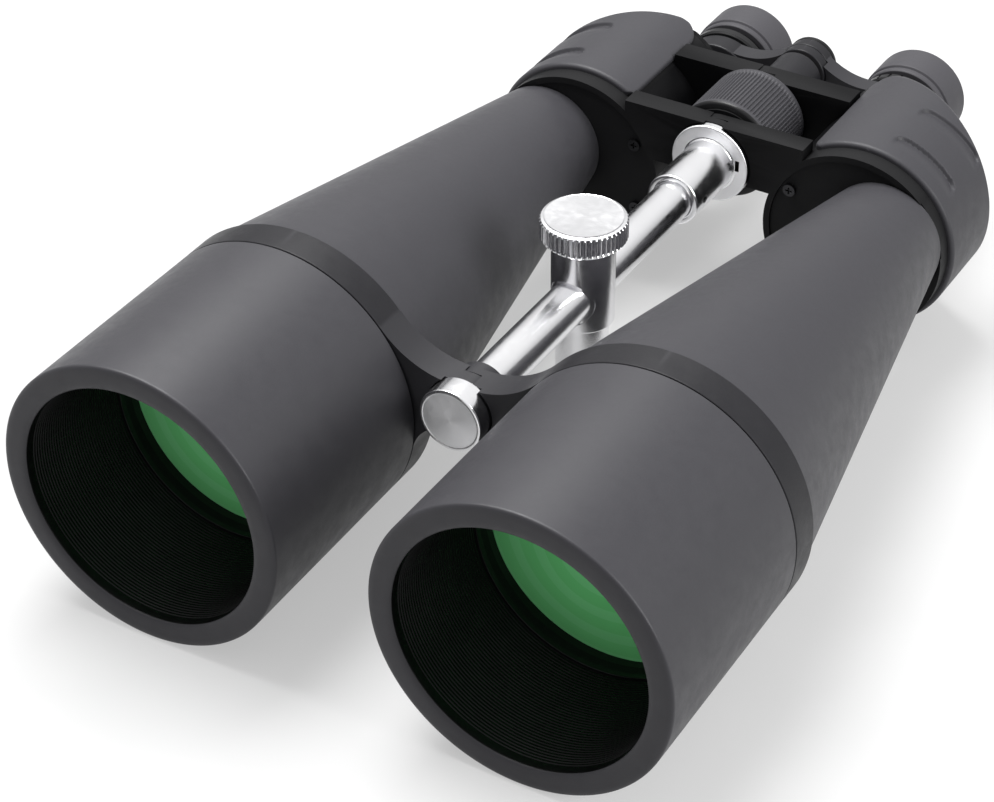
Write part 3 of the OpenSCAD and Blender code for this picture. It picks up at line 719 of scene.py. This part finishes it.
def cap_nut():
    """Polished cap on the front end of the rod, with a slightly sunken face."""
    start, end = span("rod_cap_nut")
    r = radius("rod_cap_nut")
    dish, rim, thread_r, depth = 0.15, 1.2, 4.6, 3
    profile = [(0, start + dish), (r - rim - 0.3, start + dish), (r - rim, start)]
    profile += rounded([(r - rim, start), (r, start), (r, end), (thread_r, end)], 0.6, 4, closed=False)[1:]
    profile += [(thread_r, start + depth), (0, start + depth)]
    obj = smooth(lathe("rod_end_cap", profile, segments=144, closed=False), 30)
    piece(obj, "left_body", "polished_aluminium", "rod_cap_nut")
    zone(obj, FACED_METAL, lambda x, y, z: y < start + 0.2 and math.hypot(x, z) < r - rim - 0.1)


def rod():
    start, end = span("tripod_rod")
    shoulder = span("rod_cap_nut")[1] + 0.1
    stub_r, rod_r = 4.5, 7
    profile = [(0, start), (stub_r, start), (stub_r, shoulder)]
    profile += rounded([(stub_r, shoulder), (rod_r, shoulder), (rod_r, end), (0, end)], 0.3, 3,
                       closed=False)[1:]
    obj = smooth(lathe("polished_rod", profile, segments=144, closed=False), 30)
    piece(obj, "left_body", "polished_aluminium", "tripod_rod")


def socket():
    """Socket that holds the rod's rear end: a sleeve, a slotted flange and a stub for the focus wheel."""
    start, end = span("rod_socket")
    rod_end, screw_y, screw_bore = 226, 221, 1.5
    flange0, flange1, flange_r = 241.6, 241.6 + 3.2, 14.2
    pin_r, stub_y, stub_r = 5, 251.4, 4
    outline = [(ROD_FIT, rod_end), (ROD_FIT, start), (SLEEVE_R, start), (SLEEVE_R, flange0),
               (flange_r, flange0), (flange_r, flange1), (pin_r, flange1), (pin_r, stub_y), (stub_r, stub_y),
               (stub_r, end)]
    profile = rounded(outline, 0.7, 4, closed=False) + [(0, end), (0, rod_end)]
    obj = lathe("rod_rear_socket", profile, segments=144, closed=False)
    slot_in, slot_out, slot_height = 9.7, 11.2, 4
    corners = [(slot_in, HINGE_Z), (slot_out, HINGE_Z), (slot_out, HINGE_Z + slot_height),
               (slot_in, HINGE_Z + slot_height)]
    slot = plate("slot", corners, flange0 - 1, flange0 + 1.8)
    hole = rod_shape(0, 0, 0, 12, screw_bore, 32)
    hole.rotation_euler = (0, 0, -math.pi / 2)
    hole.location = at(0, screw_y, HINGE_Z)
    carve(obj, [slot, hole], "DIFFERENCE")
    obj.name = "rod_rear_socket"
    piece(smooth(obj, 30), "left_body", "polished_aluminium", "rod_socket")
    zone(obj, FACED_METAL, lambda x, y, z: abs(y - flange0) < 0.3 and math.hypot(x, z) > SLEEVE_R + 0.7)
    # painted shade: the walls of the slot in the flange are painted flat black, for the shade inside the slot
    zone(obj, FLAT_BLACK, lambda x, y, z: flange0 + 0.4 < y < flange0 + 1.9 and math.hypot(x, z) < 12.5)


def sleeve():
    start, end = span("hinge_sleeve")
    bore, nose_r, step_y = 4.25, 6, 289.2
    outline = [(bore, start), (nose_r, start), (nose_r, step_y), (SLEEVE_R, step_y), (SLEEVE_R, end),
               (bore, end)]
    obj = smooth(lathe("hinge_rear_sleeve", rounded(outline, 0.6, 4), segments=128), 30)
    piece(obj, "left_body", "bridge_black", "hinge_sleeve")


def spindle_cap():
    """Domed cap on the rear end of the spindle, with its screw shank."""
    start, end = span("spindle_cap")
    base, shank_r, wall = 322.2, 1.6, 1.2
    dome = [(SLEEVE_R * math.cos(a), base + wall + (end - base - wall) * math.sin(a))
            for a in np.linspace(0, math.pi / 2, 12)]
    profile = [(0, start), (shank_r, start), (shank_r, base), (SLEEVE_R - 0.5, base), (SLEEVE_R, base + 0.5)]
    profile += dome[:-1] + [(0, end)]
    obj = smooth(lathe("spindle_end_cap", profile, segments=128, closed=False), 30)
    piece(obj, "left_carriage", "black_anodised", "spindle_cap")


def wheel():
    """Focus wheel: an anodised hub with a recessed front, and a rubber grip with fine ribs."""
    start, end = span("focus_wheel")
    recess, hub_r, rim = 2, 15.4, 2.2
    stub_bore, spindle_bore, nose_bore = 4.1, 4.6, 6.1
    stub_end, nose_start = 258, 272.8
    outline = [(stub_bore, start + recess), (hub_r - rim, start + recess), (hub_r - rim, start),
               (hub_r, start), (hub_r, end), (nose_bore, end), (nose_bore, nose_start),
               (spindle_bore, nose_start), (spindle_bore, stub_end), (stub_bore, stub_end)]
    hub = smooth(lathe("focus_wheel_hub", rounded(outline, 0.5, 3), segments=144), 30)
    piece(hub, "focus_wheel", "black_anodised", "focus_wheel")

    grip0, grip1 = span("focus_grip")
    bore, outer = 15.5, radius("focus_grip")
    ribs, rib_depth, rib_margin = 84, 0.5, 2.2

    def ripple(y, angle, r):
        if r < bore + 1:
            return r
        along = smoothstep(y - grip0 - rib_margin) * smoothstep(grip1 - rib_margin - y)
        wave = smoothstep((math.cos(ribs * angle) + 0.35) / 0.8)
        return r - rib_depth * along * (1 - wave)

    profile = [(bore, grip0), (outer - 1.0, grip0), (outer - 0.3, grip0 + 0.35)]
    profile += [(outer, y) for y in np.linspace(grip0 + 1.0, grip1 - 1.0, 40)]
    profile += [(outer - 0.3, grip1 - 0.35), (outer - 1.0, grip1), (bore, grip1)]
    grip = smooth(lathe("focus_wheel_rubber", profile, segments=ribs * 8, ripple=ripple), 40)
    piece(grip, "focus_wheel", "grip_rubber", "focus_grip")
    zone(grip, MATERIALS["black_anodised"], lambda x, y, z: y < grip0 + 1.0)


# ---- Tripod post ----

POST_R = radius("tripod_post")


def upright(obj, body, *nodes):
    piece(obj, body, "polished_aluminium", *nodes)
    obj.data.materials[0] = UPRIGHT_METAL


def post():
    """Post: a column bored through for the rod and its bush, on a thinner leg with the tripod thread."""
    low, high = span("tripod_post", 2)
    thread_r, thread_depth, screw_bore = 3.2, 14, 3.5
    leg_r, bush_bore = 8.6, 8.05
    outline = [(thread_r, low), (leg_r, low), (leg_r, 0), (POST_R, 0), (POST_R, high), (screw_bore, high)]
    profile = rounded(outline, 0.6, 4, closed=False)
    profile += [(screw_bore, HINGE_Z), (0, HINGE_Z), (0, low + thread_depth), (thread_r, low + thread_depth)]
    obj = lathe("post_column", profile, axis="Z", segments=144)
    carve(obj, [rod_shape(0, HINGE_Z, POST_Y - 20, POST_Y + 20, bush_bore, 128)], "DIFFERENCE")
    obj.name = "post_column"
    upright(smooth(obj), "tripod_post", "tripod_post")


def knob():
    """Clamp knob: a coarse straight knurl under a faced top, on its screw shank."""
    low, high = span("thumb_screw", 2)
    shank_r, base, r = 3.3, 29.2, radius("thumb_screw")
    teeth, depth = 48, 0.85
    edge0, edge1 = base + 1.3, high - 0.5

    def ripple(z, angle, q):
        if q < r - 0.95:
            return q
        inside = smoothstep((z - edge0) / 0.3) * smoothstep((edge1 - z) / 0.3)
        tooth = abs(((angle * teeth / (2 * math.pi)) % 1) * 2 - 1)
        return q - depth * (1 - inside) * 0.6 - depth * inside * smoothstep(1.25 - 1.5 * tooth)

    profile = [(0, low), (shank_r, low), (shank_r, base), (r - 2, base), (r - 0.9, base + 1.0)]
    profile += [(r, z) for z in np.linspace(edge0, edge1, 14)]
    profile += [(r - 0.9, high - 0.3), (r - 1.5, high), (r - 1.9, high - 0.12), (0, high - 0.12)]
    obj = lathe("knurled_knob", profile, axis="Z", segments=teeth * 12, ripple=ripple, closed=False)
    upright(smooth(obj, 28), "thumb_screw", "thumb_screw")


def bush():
    """Bush between the rod and the post, with its ends cut flush with the round post."""
    start, end = span("rod_bush")
    bush_r, column_r = 8, POST_R - 0.15
    outline = [(ROD_FIT, start), (bush_r, start), (bush_r, end), (ROD_FIT, end)]
    column = [(0, 0), (column_r, 0), (column_r, 2 * HINGE_Z), (0, 2 * HINGE_Z)]
    obj = lathe("post_bush", outline, segments=128)
    carve(obj, [lathe("column", column, axis="Z", segments=128, closed=False)], "INTERSECT")
    obj.name = "post_bush"
    piece(smooth(obj, 30), "rod_bush", "polished_aluminium", "rod_bush")


# ---- Studio ----

def floor():
    """A plain pale floor, lit a little from within so that it stays white."""
    below_post = 0.0002
    bpy.ops.mesh.primitive_plane_add(size=8, location=(0, 0, corner("tripod_post", 0)[2] - below_post))
    sheet = bpy.context.object
    sheet.name = "floor"
    s = Shader("floor_paper")
    s.link(s.ramp(s.noise(30.0), 0.215, 0.225, 0.3, 0.7), s.bsdf.inputs["Base Color"])
    s.set(Roughness=0.9, Specular_IOR_Level=0.0, Emission_Strength=0.45, Emission_Color=colour(1))
    sheet.data.materials.append(s.material)


def sky():
    """Even light from all round, brighter from above."""
    world = bpy.data.worlds.new("studio")
    bpy.context.scene.world = world
    world.use_nodes = True
    tree = world.node_tree
    coords = tree.nodes.new("ShaderNodeTexCoord")
    split = tree.nodes.new("ShaderNodeSeparateXYZ")
    ramp = tree.nodes.new("ShaderNodeValToRGB")
    ramp.color_ramp.elements[0].color = (0.30, 0.30, 0.31, 1)
    ramp.color_ramp.elements[1].position = 0.6
    background = tree.nodes["Background"]
    tree.links.new(coords.outputs["Generated"], split.inputs[0])
    tree.links.new(split.outputs[2], ramp.inputs[0])
    tree.links.new(ramp.outputs[0], background.inputs[0])
    background.inputs[1].default_value = 1.0


def light(name, place, target, size, watts):
    data = bpy.data.lights.new(name, "AREA")
    data.shape = "RECTANGLE"
    data.size, data.size_y = size
    data.energy = watts
    lamp = bpy.data.objects.new(name, data)
    bpy.context.scene.collection.objects.link(lamp)
    lamp.location = place
    lamp.rotation_euler = (Vector(target) - Vector(place)).to_track_quat("-Z", "Y").to_euler()


def camera():
    """The photograph's view: looking down on the front, from the right hand side."""
    azimuth, elevation, roll = math.radians(30.83), math.radians(36.28), math.radians(-0.457)
    back = Vector((math.sin(azimuth) * math.cos(elevation), -math.cos(azimuth) * math.cos(elevation),
                   math.sin(elevation)))
    data = bpy.data.cameras.new("camera")
    data.sensor_width = 36
    data.lens = 105.46
    data.shift_x = 0.0168
    data.shift_y = 0.0201
    cam = bpy.data.objects.new("camera", data)
    bpy.context.scene.collection.objects.link(cam)
    cam.rotation_euler = (Quaternion(back, roll) @ back.to_track_quat("Z", "Y")).to_euler()
    cam.location = at(366.4, -524.6, 524.0)
    bpy.context.scene.camera = cam


# ---- The binoculars and their picture ----

for side, s in SIDES.items():
    for build in (armour, eyecup, arm, hood, retainer, crown, barrel, bridge):
        build(side, s)

for build in (cap_nut, rod, socket, sleeve, spindle_cap, wheel, post, knob, bush):
    build()

for name, node in frame["nodes"].items():
    slot = next(p["material_slot"] for p in frame["record"]["subparts"] if p["node"] == name)
    node.data.materials.clear()
    node.data.materials.append(MATERIALS[slot])

bpy.context.scene.view_settings.view_transform = "Standard"
camera()
floor()
sky()
light("key", (-0.5, 0.2, 1.5), (0, 0, 0.05), (1.2, 0.9), 60)
light("fill", (1.4, 0.1, 0.7), (0, 0.1, 0.05), (0.7, 0.9), 24)
